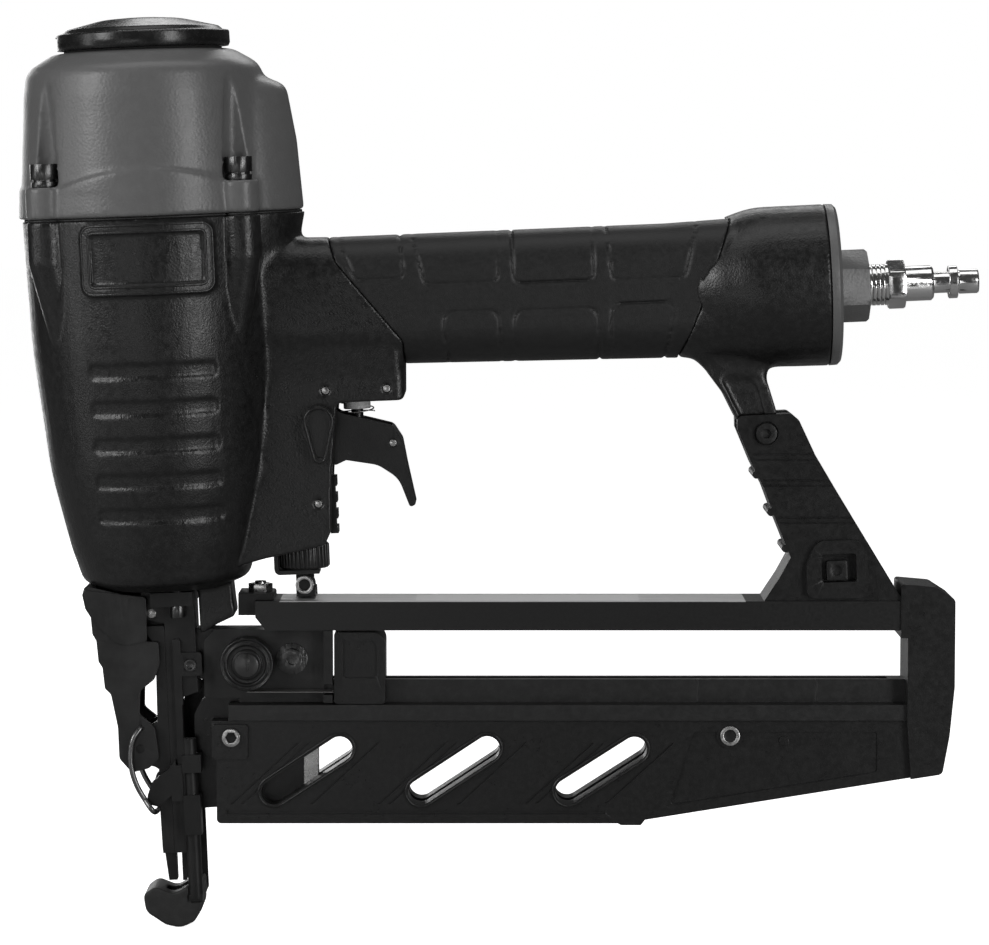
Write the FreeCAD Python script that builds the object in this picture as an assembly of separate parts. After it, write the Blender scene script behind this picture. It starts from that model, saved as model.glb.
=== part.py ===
import FreeCAD, Part
import math
import os

# Pneumatic finish nail gun. Millimetres. Z runs up the drive axis, X to the rear, Y across the tool.
# The origin is the muzzle. The magazine hangs 2.25 degrees below square, so its pieces are drawn in
# a frame (u, w) of their own and turned about Y at the end.

os.makedirs("parts", exist_ok=True)
V = FreeCAD.Vector
TILT = 2.25

BODY_TOP = 221.4
CAP_BASE = 222.2
SCREW_X = 31.5
SCREW_Y = 28.0
LOBE_X = 27.0
LOBE_R = 24.0
HANDLE_Z = 190.3
SLEEVE_R = 26.0
BORE_R = 24.0
SLEEVE_LOW = 106.0
SLEEVE_HIGH = 218.0
TRIGGER_X, TRIGGER_Z = 53.3, 152.2
VALVE_X = 65.6
HINGE_X, HINGE_Z = -5.0, 90.7
LATCH_X, LATCH_Z = -10.5, 46.0
WIRE_X, WIRE_Z = -10.1, 52.9
BAR_X, BAR_Z = -6.5, 25.0
WHEEL_X = 46.0
WHEEL_R = 8.4
ARM_LIFT = 6.5
ROD_X, ROD_Y = 5.5, -8.5
DRUM_U, DRUM_W = 23.2, 74.0


def outline(points, place):
    """Closed wire through the points; a third number rounds that corner."""
    count = len(points)
    runs = []
    for i in range(count):
        here = points[i]
        corner = V(here[0], here[1], 0)
        if len(here) < 3:
            runs.append((corner, None, corner))
            continue
        back = V(points[i - 1][0], points[i - 1][1], 0) - corner
        ahead = V(points[(i + 1) % count][0], points[(i + 1) % count][1], 0) - corner
        back.normalize()
        ahead.normalize()
        half = back.getAngle(ahead) / 2
        reach = here[2] / math.tan(half)
        inward = back + ahead
        inward.normalize()
        middle = corner + inward * (here[2] / math.sin(half) - here[2])
        runs.append((corner + back * reach, middle, corner + ahead * reach))
    edges = []
    for i in range(count):
        start, middle, end = runs[i]
        if middle is not None:
            edges.append(Part.Arc(place(start), place(middle), place(end)).toShape())
        following = runs[(i + 1) % count][0]
        if (following - end).Length > 1e-6:
            edges.append(Part.LineSegment(place(end), place(following)).toShape())
    return Part.Wire(edges)


def prism_y(points, y0, y1):
    """Side outline (x, z) drawn out across the tool."""
    wire = outline(points, lambda p: V(p.x, y0, p.y))
    return Part.Face(wire).extrude(V(0, y1 - y0, 0))


def prism_z(points, z0, z1):
    """Plan outline (x, y) drawn upwards."""
    wire = outline(points, lambda p: V(p.x, p.y, z0))
    return Part.Face(wire).extrude(V(0, 0, z1 - z0))


def prism_x(points, x0, x1):
    """Cross-section (y, z) drawn to the rear."""
    wire = outline(points, lambda p: V(x0, p.x, p.y))
    return Part.Face(wire).extrude(V(x1 - x0, 0, 0))


def box(x0, x1, y0, y1, z0, z1):
    return Part.makeBox(x1 - x0, y1 - y0, z1 - z0, V(x0, y0, z0))


def turned_z(points, x=0.0, y=0.0):
    """Profile (radius, z) turned about an upright axis."""
    wire = outline(points, lambda p: V(p.x, 0, p.y))
    solid = Part.Face(wire).revolve(V(0, 0, 0), V(0, 0, 1), 360)
    solid.translate(V(x, y, 0))
    return solid


def turned_x(points, y=0.0, z=HANDLE_Z):
    """Profile (x, radius) turned about an axis that runs to the rear."""
    wire = outline(points, lambda p: V(p.x, 0, p.y))
    solid = Part.Face(wire).revolve(V(0, 0, 0), V(1, 0, 0), 360)
    solid.translate(V(0, y, z))
    return solid


def post(x, y, z0, z1, r):
    return Part.makeCylinder(r, z1 - z0, V(x, y, z0), V(0, 0, 1))


def rod_y(x, z, y0, y1, r):
    return Part.makeCylinder(r, y1 - y0, V(x, y0, z), V(0, 1, 0))


def rod_x(x0, x1, y, z, r):
    return Part.makeCylinder(r, x1 - x0, V(x0, y, z), V(1, 0, 0))


def hexagon(across_flats, turn=0.0):
    r = across_flats / math.sqrt(3)
    return [(r * math.cos(math.radians(60 * i + turn)), r * math.sin(math.radians(60 * i + turn)))
            for i in range(6)]


def join(shapes):
    whole = shapes[0]
    for shape in shapes[1:]:
        whole = whole.fuse(shape)
    clean = whole.removeSplitter()
    return clean if clean.isValid() else whole


def carve(shape, tools):
    for tool in tools:
        shape = shape.cut(tool)
    return shape


def coil(x, y, z0, z1, r, wire_r, turns):
    """Compression spring with its ends inside z0 to z1."""
    rise = z1 - z0 - 2 * wire_r
    path = Part.makeHelix(rise / turns, rise, r)
    path.translate(V(x, y, z0 + wire_r))
    start = V(x + r, y, z0 + wire_r)
    circle = Part.Wire(Part.makeCircle(wire_r, start, V(0, 1, 0)))
    return Part.Wire(path).makePipeShell([circle], True, True)


def bent_rod(points, r):
    """Round wire through the points, with a ball at each bend."""
    pieces = []
    for a, b in zip(points, points[1:]):
        start = V(*a)
        run = V(*b) - start
        pieces.append(Part.makeCylinder(r, run.Length, start, run))
    for p in points[1:-1]:
        pieces.append(Part.makeSphere(r, V(*p)))
    return join(pieces)


def lean(shape):
    """Turn a magazine piece from its own frame into the tool's."""
    turned = shape.copy()
    turned.rotate(V(0, 0, 0), V(0, 1, 0), TILT)
    return turned


def mirrored(shape):
    return shape.mirror(V(0, 0, 0), V(0, 1, 0))


PARTS = {}


def keep(name, shape):
    PARTS[name] = shape


# ---------------------------------------------------------------- screws at the four cap corners
CORNERS = [(sx * SCREW_X, sy * SCREW_Y) for sx in (-1, 1) for sy in (-1, 1)]


def cap_screw(x, y):
    """Socket-head screw on a lock washer."""
    head = post(x, y, 235.2, 240.2, 4.5).cut(prism_z([(x + a, y + b) for a, b in hexagon(4.0)], 237, 241))
    shank = post(x, y, 205, 235.2, 2.5).fuse(post(x, y, 234.0, 235.2, 3.7))
    washer = post(x, y, 232.6, 234.4, 4.3)
    return join([head, shank, washer])


cap_screws = [cap_screw(x, y) for x, y in CORNERS]


# ---------------------------------------------------------------- body housing
def barrel(grow):
    """The tapered round body, grown outwards by a given amount."""
    g = grow
    return turned_z([(0, 97.8 - g), (19.0 + g, 98.6 - g), (27.5 + g, 101.8 - g, 5), (31.0 + g, 113.0, 30),
                     (36.6 + g, 138.5, 120), (40.9 + g, 180.0, 200), (42.2 + g, BODY_TOP), (0, BODY_TOP)])


def lobe(z0, z1, x0, r0, x1, r1):
    """Tapering round column that carries air past the cylinder."""
    low = Part.Wire(Part.makeCircle(r0, V(x0, 0, z0), V(0, 0, 1)))
    high = Part.Wire(Part.makeCircle(r1, V(x1, 0, z1), V(0, 0, 1)))
    return Part.makeLoft([low, high], True, True)


def handle_section(x, half_low, half_high, z0, z1, r):
    return outline([(-half_low, z0, r), (half_low, z0, r), (half_high, z1, r), (-half_high, z1, r)],
                   lambda p: V(x, p.x, p.y))


def handle_solid(inset):
    """The gripped part of the handle, shrunk by a given inset."""
    i = inset
    return Part.makeLoft([handle_section(33, 16.0 - i, 22.6 - i, 171.0 + i, 213.6 - i, 13 - i),
                          handle_section(46, 17.8 - i, 19.4 - i, 170.6 + i, 212.8 - i, 13 - i),
                          handle_section(60, 18.2 - i, 18.2 - i, 170.4 + i, 212.4 - i, 13 - i),
                          handle_section(170, 18.0 - i, 18.0 - i, 168.4 + i, 212.6 - i, 13 - i),
                          handle_section(192, 20.5 - i, 20.5 - i, 167.4 + i, 213.4 - i, 15 - i)], True, True)


def web_section(z, half):
    return outline([(10, -half), (82.0, -half, 3.6), (82.0, half, 3.6), (10, half)], lambda p: V(p.x, p.y, z))


def boss_ridge(x, y):
    """Round ridge below a cap screw that dies into the barrel."""
    k = 34.5 / math.hypot(x, y)
    low = Part.Wire(Part.makeCircle(5.0, V(x * k, y * k, 176), V(0, 0, 1)))
    high = Part.Wire(Part.makeCircle(6.4, V(x, y, 208), V(0, 0, 1)))
    return Part.makeLoft([low, high], True, True).fuse(post(x, y, 208, BODY_TOP, 6.4))


def pill(x0, x1, z, half):
    return [(x0, z - half, 1.6), (x1, z - half, 1.6), (x1, z + half, 1.6), (x0, z + half, 1.6)]


web = prism_y([(10, 102), (33.2, 107.8), (53.5, 111.4, 2), (55.8, 116), (56.6, 134.5), (59.4, 158.4, 2),
               (81.8, 158.4, 2), (82.4, 174), (60, 186), (20, 186)], -15, 15)
web = web.common(prism_z([(5, -15), (82.4, -15, 3.6), (82.4, 15, 3.6), (5, 15)], 95, 190))
stub = prism_y([(174, 172), (176.3, 169.1, 5), (181.4, 163.9), (187.0, 155.8), (191.4, 146.2), (204.4, 148.3),
                (201.1, 160.5), (203, 170)], -10, 10)
stub_panel = prism_y([(186.3, 161.0, 1), (189.0, 162.2, 1), (196.2, 160.8, 2), (198.0, 157.6, 2),
                      (200.2, 148.0), (192.2, 148.0)],
                     -10.1, -8.7)
tongue = prism_y([(193.0, 150), (195.5, 138.6, 3), (204.8, 138.6, 3), (203.0, 150)], -4.5, 4.5)
bell = turned_x([(174, 0), (174, 17), (186, 22.5, 20), (198, 26.5, 30), (222.4, 26.7), (222.4, 0)])
foot = prism_y([(8, 100), (10.7, 97.2), (10.9, 82.8, 1), (16.5, 86.2), (22.6, 88.8, 1), (21.4, 104),
                (12, 104)], -9, 9)

# the stretch of the handle that the rubber grip covers, with slanting ends
grip_zone = prism_y([(57.5, 216), (61.0, 204.5), (82.0, 178.0, 3), (82.5, 160), (172.0, 160), (172.5, 170.0),
                     (176.5, 177.0), (182.5, 191.0), (192.0, 216)], -30, 30)
flare = Part.makeLoft([web_section(166, 15), web_section(190, 18.3)], True, True).cut(grip_zone)

outer = join([barrel(0), lobe(150, BODY_TOP, 18, 18, LOBE_X, LOBE_R), handle_solid(0), web, flare, stub,
              bell, foot])
for corner in CORNERS:
    outer = outer.fuse(boss_ridge(*corner))

# fillet between the top of the neck and the rim below the cap
neck_top = prism_y([(38, 208), (60, 208), (60, 212.0), (57.0, 212.2), (52.4, 215.6, 3), (50.8, 221.0),
                    (38, 221.0)], -15, 15)
outer = outer.fuse(neck_top)

# raised blank name frame and five shallow pills on each side
frame_ring = prism_y([(-19.8, 197, 3.5), (23, 197, 3.5), (23, 220, 3.5), (-19.8, 220, 3.5)], -50, -30)
frame_ring = frame_ring.cut(prism_y([(-16.8, 200, 2), (20, 200, 2), (20, 217, 2), (-16.8, 217, 2)], -50, -30))
frame_ring = frame_ring.common(post(0, 0, 190, BODY_TOP, 42.9))
outer = outer.fuse(frame_ring).fuse(mirrored(frame_ring))
skin = barrel(2).cut(barrel(-0.7))
for z in (172.4, 160.3, 148.3, 136.4, 125.0):
    groove = prism_y(pill(-19, 22, z, 2.6), -50, -10).common(skin)
    outer = carve(outer, [groove, mirrored(groove)])

reservoir = Part.makeCone(27.6, 36.4, BODY_TOP - 120, V(0, 0, 120), V(0, 0, 1))
hollow = [reservoir,
          post(0, 0, SLEEVE_LOW, 121, SLEEVE_R),
          post(0, 0, 97, SLEEVE_LOW + 1, 8.5),
          rod_x(30, 206, 0, HANDLE_Z, 12),
          rod_x(205, 223, 0, HANDLE_Z, 20),
          post(40, 0, 190, BODY_TOP + 1, 6),
          post(VALVE_X, 0, 158, 180, 10.85),
          box(40.4, 62, -8.2, 8.2, 98, 158.4),
          box(35.4, 62, -9.4, 9.4, 98, 113.4 + ARM_LIFT + 0.6),
          stub_panel, mirrored(stub_panel)]
housing = carve(outer, hollow)
housing = housing.fuse(tongue)
housing = carve(housing, cap_screws)

# rubber grip; the casting is waisted under it
grip = handle_solid(0).cut(handle_solid(2.6)).common(grip_zone)
grip_skin = handle_solid(-1).cut(handle_solid(0.8))


def groove_frame(low0, low1, top0, top1, z0, z1, corner):
    """Outline groove of a moulded panel; it runs off the end of the grip that it is open to."""
    whole = prism_y([(low0, z0, corner), (low1, z0, corner), (top1, z1, corner), (top0, z1, corner)], -30,
                    0.01)
    core = prism_y([(low0 + 1, z0 + 1, corner - 1), (low1 - 1, z0 + 1, corner - 1),
                    (top1 - 1, z1 - 1, corner - 1), (top0 + 1, z1 - 1, corner - 1)], -30, 0.01)
    return whole.cut(core).common(grip_skin)


UPPER_PANELS = ((67.0, 84.0, 59.0, 82.0, 197.8), (89.6, 114.6, 84.4, 114.9, 195.6),
                (118.6, 146.0, 118.4, 146.2, 195.0),
                (150.9, 175.6, 149.0, 181.6, 194.6))
LOWER_PANELS = ((96.8, 115.0, 94.8, 114.2, 187.3), (118.0, 147.0, 118.4, 146.8, 186.9),
                (149.6, 167.0, 150.2, 172.8, 188.0))
panel_grooves = [groove_frame(a, b, c, d, z, 218, 3) for a, b, c, d, z in UPPER_PANELS]
panel_grooves += [groove_frame(a, b, c, d, 162, z, 4) for a, b, c, d, z in LOWER_PANELS]
for groove in panel_grooves:
    grip = carve(grip, [groove, mirrored(groove)])
housing = housing.cut(handle_solid(0).cut(handle_solid(2.6)).common(grip_zone))
keep("handle_grip", grip)

# ---------------------------------------------------------------- cap, gasket, deflector
dome = turned_z([(0, CAP_BASE), (42.7, CAP_BASE), (41.9, 233), (39.9, 262.0, 4), (38.6, 270.5, 6),
                 (30.0, 275.6, 6), (26.0, 276.2), (0, 276.2)])
cap_lobe = turned_z([(0, CAP_BASE), (LOBE_R - 0.2, CAP_BASE), (LOBE_R - 1.6, 245), (19.6, 263.5, 5),
                     (13, 266.0, 3),
                     (0, 266.5)], LOBE_X, 0)
skirt = join([post(x, y, CAP_BASE, 232.6, 6.4) for x, y in CORNERS])
arch = turned_z([(0, CAP_BASE), (43.3, CAP_BASE), (42.8, 232.2), (41.5, 233.4), (0, 233.4)])
flutes = [Part.makeCone(6.2, 2.6, 40, V(x, y, 232.6)) for x, y in CORNERS]
crest = turned_z([(0, 230), (43.0, 230), (42.6, 238.5), (0, 238.5)])
crest = crest.common(rod_y(2, 158, -50, -12, 79.2)).common(box(-26, 30, -50, -12, 231, 240))
cap = join([dome, cap_lobe, skirt, arch, crest, mirrored(crest)])
cap = carve(cap, flutes)
ring_hollow = post(0, 0, CAP_BASE - 1, 262, 34.3).cut(post(0, 0, CAP_BASE - 1, 262, 30.6))
cap = carve(cap, [ring_hollow, post(0, 0, CAP_BASE - 1, 248, 27.5), post(0, 0, 247, 268, 20),
                  post(40, 0, CAP_BASE - 1, 245, 5.0)])
vents = [post(13.5 * math.cos(math.radians(60 * i + 30)), 13.5 * math.sin(math.radians(60 * i + 30)), 267,
              277, 4.2)
         for i in range(6)]
deflector_screw = join([post(0, 0, 270, 285.0, 2.5),
                        turned_z([(0, 284.9), (4.3, 284.9), (4.3, 286.6, 0.8), (0, 286.9)])])
deflector_screw = deflector_screw.cut(prism_z(hexagon(3.0), 285.6, 288))
cap = carve(cap, vents + cap_screws + [deflector_screw])
keep("cylinder_cap", cap)
keep("cap_screws", Part.makeCompound(cap_screws + [deflector_screw]))
gasket = join([post(0, 0, BODY_TOP, CAP_BASE, 41.6), post(LOBE_X, 0, BODY_TOP, CAP_BASE, 23.2)]
              + [post(x, y, BODY_TOP, CAP_BASE, 5.8) for x, y in CORNERS])
gasket = carve(gasket, [post(0, 0, 220, 224, 36.4), post(40, 0, 220, 224, 5.0)] + cap_screws)

felt = post(0, 0, 276.2, 276.9, 26.0).cut(post(0, 0, 276, 277.5, 19.5))
keep("deflector_washer", felt)
deflector = turned_z([(2.56, 276.95), (28.2, 276.95), (28.7, 278.0), (28.6, 282.0, 0.6), (26.5, 282.4, 0.6),
                      (25.2, 283.6, 2), (13, 286.5, 30), (5.4, 287.0), (5.4, 284.9), (2.56, 284.9)])
inside = turned_z([(7.5, 276.5), (26.2, 276.5), (26.2, 280.6), (23.5, 281.8), (12, 284.2), (7.5, 284.4)])
mouth = box(-32, -18, -9, 9, 277.8, 281.2)
deflector = carve(deflector, [inside, mouth])
keep("exhaust_deflector", deflector)

# ---------------------------------------------------------------- head valve and drive
valve_ring = turned_z([(12, 218.2), (25.6, 218.2), (26.2, 219, 0.3), (26.2, 226), (27.44, 226), (27.44, 231),
                       (26.0, 231), (26.0, 233.2), (27.44, 233.2), (27.44, 239), (21, 239), (21, 233),
                       (12, 229)])
keep("head_valve_piston", valve_ring)
keep("head_valve_o_ring", turned_z([(26.05, 231.1), (27.47, 231.1), (27.47, 233.1), (26.05, 233.1)]))
keep("head_valve_spring", coil(0, 0, 239.05, 247.95, 23.6, 0.9, 2.5))
sleeve = turned_z([(BORE_R, SLEEVE_LOW), (SLEEVE_R - 0.02, SLEEVE_LOW), (SLEEVE_R - 0.02, SLEEVE_HIGH),
                   (BORE_R + 0.6, SLEEVE_HIGH),
                   (BORE_R, SLEEVE_HIGH - 2)])
relief_holes = [Part.makeCylinder(1.5, 8, V(22 * math.cos(a), 22 * math.sin(a), 126),
                                  V(math.cos(a), math.sin(a), 0))
                for a in [math.radians(30 * i) for i in range(12)]]
sleeve = carve(sleeve, relief_holes)
keep("cylinder_sleeve", sleeve)
keep("bumper", turned_z([(7.5, SLEEVE_LOW), (23.8, SLEEVE_LOW, 1), (23.8, 116, 3), (20, 119.8, 2),
                         (9, 119.8, 1.5), (7.5, 117)]))
PISTON_LOW = 191.0
piston = turned_z([(0, PISTON_LOW), (18, PISTON_LOW), (BORE_R - 0.05, PISTON_LOW + 3), (BORE_R - 0.05, 197),
                   (21.9, 197), (21.9, 200.4),
                   (BORE_R - 0.05, 200.4), (BORE_R - 0.05, 205), (19, 205), (17, 198), (7, 198), (6, 204),
                   (0, 204)])
blade = join([box(-0.75, 0.75, -1.6, 1.6, 72, 190), post(0, 0, 176, PISTON_LOW, 5.0),
              post(0, 0, PISTON_LOW, 199, 3.5)])
piston = piston.cut(post(0, 0, PISTON_LOW - 1, 199, 3.5))
keep("piston", piston)
keep("piston_o_ring", turned_z([(21.95, 197.1), (23.97, 197.1), (23.97, 200.3), (21.95, 200.3)]))
keep("driver_blade", blade)

# ---------------------------------------------------------------- rear end cap and air plug
plug_z = 189.6
thread = turned_x([(230, 0), (230, 6.4), (236.2, 6.8), (242.9, 6.8), (242.9, 0)], 0, plug_z)
plug_hex = prism_x([(a, plug_z + b) for a, b in hexagon(14.3, 30)], 242.7, 248.4)
plug_hex = plug_hex.common(turned_x([(242, 0), (242, 7.0), (243.2, 8.1), (247.9, 8.1), (249, 7.0),
                                     (249, 0)], 0, plug_z))
plug_tail = turned_x([(248.2, 0), (248.2, 5.8), (257.0, 5.8), (257.8, 5.0), (257.8, 3.5), (262.9, 3.5),
                      (262.9, 5.4, 0.3),
                      (265.8, 5.4, 0.3), (265.8, 3.6), (266.5, 3.6), (266.5, 4.0), (272.3, 4.0),
                      (272.8, 3.6), (272.8, 0)], 0, plug_z)
air_plug = join([thread, plug_hex, plug_tail])
for i in range(4):
    x = 237.4 + 1.4 * i
    air_plug = air_plug.cut(turned_x([(x - 0.45, 7.4), (x, 6.1), (x + 0.45, 7.4)], 0, plug_z))
air_plug = air_plug.cut(rod_x(229, 274, 0, plug_z, 2.4))
keep("air_plug", air_plug)
rim = turned_x([(206.5, 0), (206.5, 19.9), (211, 19.9), (211, 17.9), (214, 17.9), (214, 19.9),
                (222.5, 19.9), (222.5, 26.7),
                (225.0, 26.6), (226.0, 25.6), (226.2, 13), (226.9, 12.4), (226.9, 0)])
cap_hex = prism_x([(a, plug_z + b) for a, b in hexagon(20.8, 30)], 226.5, 236.2)
cap_hex = cap_hex.common(turned_x([(226, 0), (226, 12.3), (235, 12.3), (236.4, 11.0), (236.4, 0)], 0, plug_z))
end_cap = join([rim, cap_hex]).cut(rod_x(206, 231, 0, plug_z, 5.5)).cut(thread)
keep("end_cap", end_cap)
end_cap_o_ring = turned_x([(211.1, 17.95), (213.9, 17.95), (213.9, 20.0), (211.1, 20.0)])
keep("fixed_seals", Part.makeCompound([gasket, end_cap_o_ring]))

# ---------------------------------------------------------------- trigger, valve and selector
valve_body = join([post(VALVE_X, 0, 159.2, 176, 10.8), post(VALVE_X, 0, 176, 178.2, 6.0)])
valve_body = carve(valve_body, [post(VALVE_X, 0, 158, 180, 2.05), post(VALVE_X, 0, 158, 163, 4.0)])
PIN_PLACES = ((56.0, 162.6), (76.1, 162.5), (52.1, 125.4))
cross_pins = [rod_y(x, z, -14.9, 14.9, 1.15) for x, z in PIN_PLACES]
pin_sinks = [rod_y(x, z, y, y + 0.7, 1.75) for x, z in PIN_PLACES for y in (-15.1, 14.4)]
valve_body = carve(valve_body, cross_pins)
bushing = join([post(VALVE_X, 0, 155.4, 159.2, 4.5), post(VALVE_X, 0, 159.2, 163, 3.95)])
bushing = bushing.cut(post(VALVE_X, 0, 154, 164, 2.05))
stem = turned_z([(0, 150.9), (1.4, 150.9), (2.0, 151.5), (2.0, 174), (0, 174)], VALVE_X, 0)
keep("valve_body", valve_body)
keep("valve_bushing", bushing)
keep("valve_stem", stem)
keep("trigger_spring", coil(VALVE_X, 0, 154.2, 158.35, 5.5, 0.3, 2))

trigger_side = [(48.9, 152.2, 3), (49.6, 157.3, 4.5), (57.0, 157.3, 3.5), (60.0, 154.6, 3),
                (69.6, 152.0, 20), (77.4, 149.8, 3),
                (80.3, 145.0, 4), (81.6, 136.5), (84.0, 123.4, 0.9), (82.0, 122.4, 0.9), (78.6, 132.2, 9),
                (72.0, 136.9, 9), (61.5, 138.9), (57.6, 137.2, 2), (52.0, 141.5), (49.2, 147.0)]
trigger = prism_y(trigger_side, -7.7, 7.7)
trigger_room = prism_y([(46, 160), (46, 146.0), (54.5, 144.2), (58.0, 141.4), (62.0, 141.6), (73.0, 139.9),
                        (78.9, 136.4),
                        (79.2, 144.6), (77.4, 148.0), (75.0, 160)], -5.6, 5.6)
trigger = trigger.cut(trigger_room)
shaft_hole = rod_y(TRIGGER_X, TRIGGER_Z, -20, 20, 3.05)
TRIP_X, TRIP_Z = 77.2, 144.0
trip_pin = rod_y(TRIP_X, TRIP_Z, -7.6, 7.6, 1.1)
trip_sinks = [rod_y(TRIP_X, TRIP_Z, y, y + 0.6, 1.6) for y in (-7.8, 7.2)]
trigger = carve(trigger, [shaft_hole, trip_pin] + trip_sinks)
keep("trigger", trigger)
keep("trip_lever_pin", trip_pin)
trip = prism_y([(44.4, 146.6, 0.8), (58.0, 146.8), (74.2, 142.0, 2), (78.7, 142.0, 2), (77.8, 146.0, 2),
                (66.0, 150.4, 3), (44.4, 148.4, 0.8)],
               -2.6, 2.6)
trip = trip.cut(rod_y(TRIP_X, TRIP_Z, -8, 8, 1.14)).cut(rod_y(TRIGGER_X, TRIGGER_Z, -8, 8, 3.8))
keep("trip_lever", trip)
housing = carve(housing, [shaft_hole] + cross_pins + pin_sinks)

teardrop = prism_y([(47.9, 152.0, 5), (50.2, 158.0, 3.5), (56.4, 158.0, 3.5), (58.9, 152.0, 5),
                    (55.6, 139.4, 1.8),
                    (51.0, 139.4, 1.8)], -19.0, -15.4)
dish = prism_y([(49.5, 151.8, 3.6), (51.2, 156.6, 2.4), (55.4, 156.6, 2.4), (57.3, 151.8, 3.6),
                (54.5, 140.8, 0.9),
                (52.1, 140.8, 0.9)], -19.1, -17.7)
selector = join([teardrop.cut(dish), rod_y(TRIGGER_X, TRIGGER_Z, -16, 16.8, 3.0),
                 rod_y(TRIGGER_X, TRIGGER_Z, -17.7, -16, 2.2)])
selector = selector.cut(rod_y(TRIGGER_X, TRIGGER_Z, 15.2, 16.0,
                              4).cut(rod_y(TRIGGER_X, TRIGGER_Z, 15.2, 16.0, 2.4)))
clip = rod_y(TRIGGER_X, TRIGGER_Z, 15.25, 15.95, 5.0).cut(rod_y(TRIGGER_X, TRIGGER_Z, 15, 16.2, 2.42))
clip = clip.cut(box(TRIGGER_X - 1.8, TRIGGER_X + 1.8, 15, 16.2, TRIGGER_Z - 6, TRIGGER_Z))
keep("selector_lever", Part.makeCompound([selector, clip]))

# ---------------------------------------------------------------- depth of drive and upper safety arm
guide_block = box(40.45, 55.4, -8.15, 8.15, 123.5, 130)
slot_cover = box(55.3, 57.9, -4.6, 4.6, 114.5, 133.5)
teeth = [box(57.2, 58.5, -5, 5, z, z + 2.4) for z in (117.0, 122.4, 127.8)]
guide_block = carve(join([guide_block, slot_cover]),
                    [box(43.8, 48.2, -2.1, 2.1, 123, 131)] + teeth + cross_pins)
keep("guide_block", guide_block)
depth_screw = join([prism_y([(43.0, 96.1, 1.4), (48.9, 96.1, 1.4), (48.9, 100.9), (43.0, 100.9)], -2.5, 2.5),
                    post(WHEEL_X, 0, 100.5, 115, 2.2)])
ring_rivet = join([rod_y(45.9, 97.9, -4.7, 4.7, 1.6), rod_y(45.9, 97.9, -6.4, -4.7, 3.0),
                   rod_y(45.9, 97.9, 4.7, 6.0, 3.0)])
ring_rivet = ring_rivet.cut(rod_y(45.9, 97.9, -7, -5.0, 1.95))
depth_screw = depth_screw.cut(ring_rivet)
keep("depth_screw", depth_screw)
keep("arm_rivet", ring_rivet)
wheel = turned_z([(2.25, 103.1), (WHEEL_R - 0.7, 103.1), (WHEEL_R, 103.8), (WHEEL_R, 110.8),
                  (WHEEL_R - 0.7, 111.5), (2.25, 111.5)])
wheel.translate(V(WHEEL_X, 0, 0))
for i in range(36):
    a = math.radians(10 * i)
    wheel = wheel.cut(post(WHEEL_X + (WHEEL_R + 0.15) * math.cos(a), (WHEEL_R + 0.15) * math.sin(a), 102,
                           113, 0.5))
keep("depth_wheel", wheel)
yoke = prism_y([(36.1, 101.4, 2.0), (51.0, 101.4), (51.0, 102.8), (37.5, 102.8, 0.6), (37.5, 111.9),
                (52.0, 111.9), (52.0, 113.2), (36.1, 113.2)],
               -6.0, 6.0)
upper_arm = join([yoke, box(44.0, 48.0, -2.0, 2.0, 113, 139.2), box(43.2, 48.8, -2.8, 2.8, 113, 116.8)])
upper_arm = carve(upper_arm, [post(WHEEL_X, 0, 111, 115, 2.2), post(WHEEL_X, 0, 101, 103, 2.3)])
keep("upper_safety_arm", upper_arm)
keep("safety_spring", coil(WHEEL_X, 0, 113.25, 123.45, 4.6, 0.45, 4))

# ---------------------------------------------------------------- nose
nose = join([prism_y([(0.9, 0), (2.2, 0), (3.0, 10.4), (3.0, 62), (9.2, 64), (9.2, 93.5), (9.2, 97.8),
                      (-0.9, 97.8), (-0.9, 10.4), (0.9, 10.4)],
                     -8.9, 8.9),
             box(-4.8, 9.2, -14, 14, 93.2, 97.8),
             prism_y([(-8.2, 97.8), (-8.2, 89.2, 2.6), (-2.0, 87.4), (0, 87.4), (0, 97.8)], -8.9, 8.9)])
nose = carve(nose, [box(-2, 4, -20, -2.8, -1, 10.4), box(-2, 4, 2.8, 20, -1, 10.4),
                    box(-0.9, 0.9, -1.75, 1.75, -1, 99), box(-12, -0.9, -4.3, 4.3, 80, 96),
                    box(0.5, 4, -1.75, 1.75, 14, 62.5)])
hook = prism_y([(0.9, 42.0), (-0.9, 39.2), (-4.6, 36.8, 2), (-7.3, 34.6, 2), (-8.8, 30.4), (-9.3, 27.5, 0.4),
                (-5.4, 26.4), (-2.5, 28.6), (-0.9, 30.0), (0.9, 30.0)], -11.2, -9.2)
hook = hook.fuse(prism_y([(-0.9, 40), (3.0, 40), (3.0, 28), (-0.9, 28)], -11.2, -8.8))
nose = join([nose, hook, mirrored(hook)])
neck_spigot = post(0, 0, 97.8, 105.9, 8.4).cut(post(0, 0, 97, 107, 5.4))
nose = nose.fuse(neck_spigot)
nose_screws = [join([post(4.0, s * 11.6, 89.4, 93.2, 2.5),
                     post(4.0, s * 11.6, 93.2, 102.5, 1.7)]) for s in (-1, 1)]
nose_screws = [s.cut(prism_z([(4.0 + a, y + b) for a, b in hexagon(2.6)], 89, 91.5)) for s,
               y in zip(nose_screws, (-11.6, 11.6))]
hinge_pin = rod_y(HINGE_X, HINGE_Z, -8.9, 8.9, 1.5)
nose = carve(nose, nose_screws + [hinge_pin])
housing = carve(housing, nose_screws)
housing = housing.cut(box(-8.3, 9.2, -14.05, 14.05, 80, 97.8))

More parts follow.
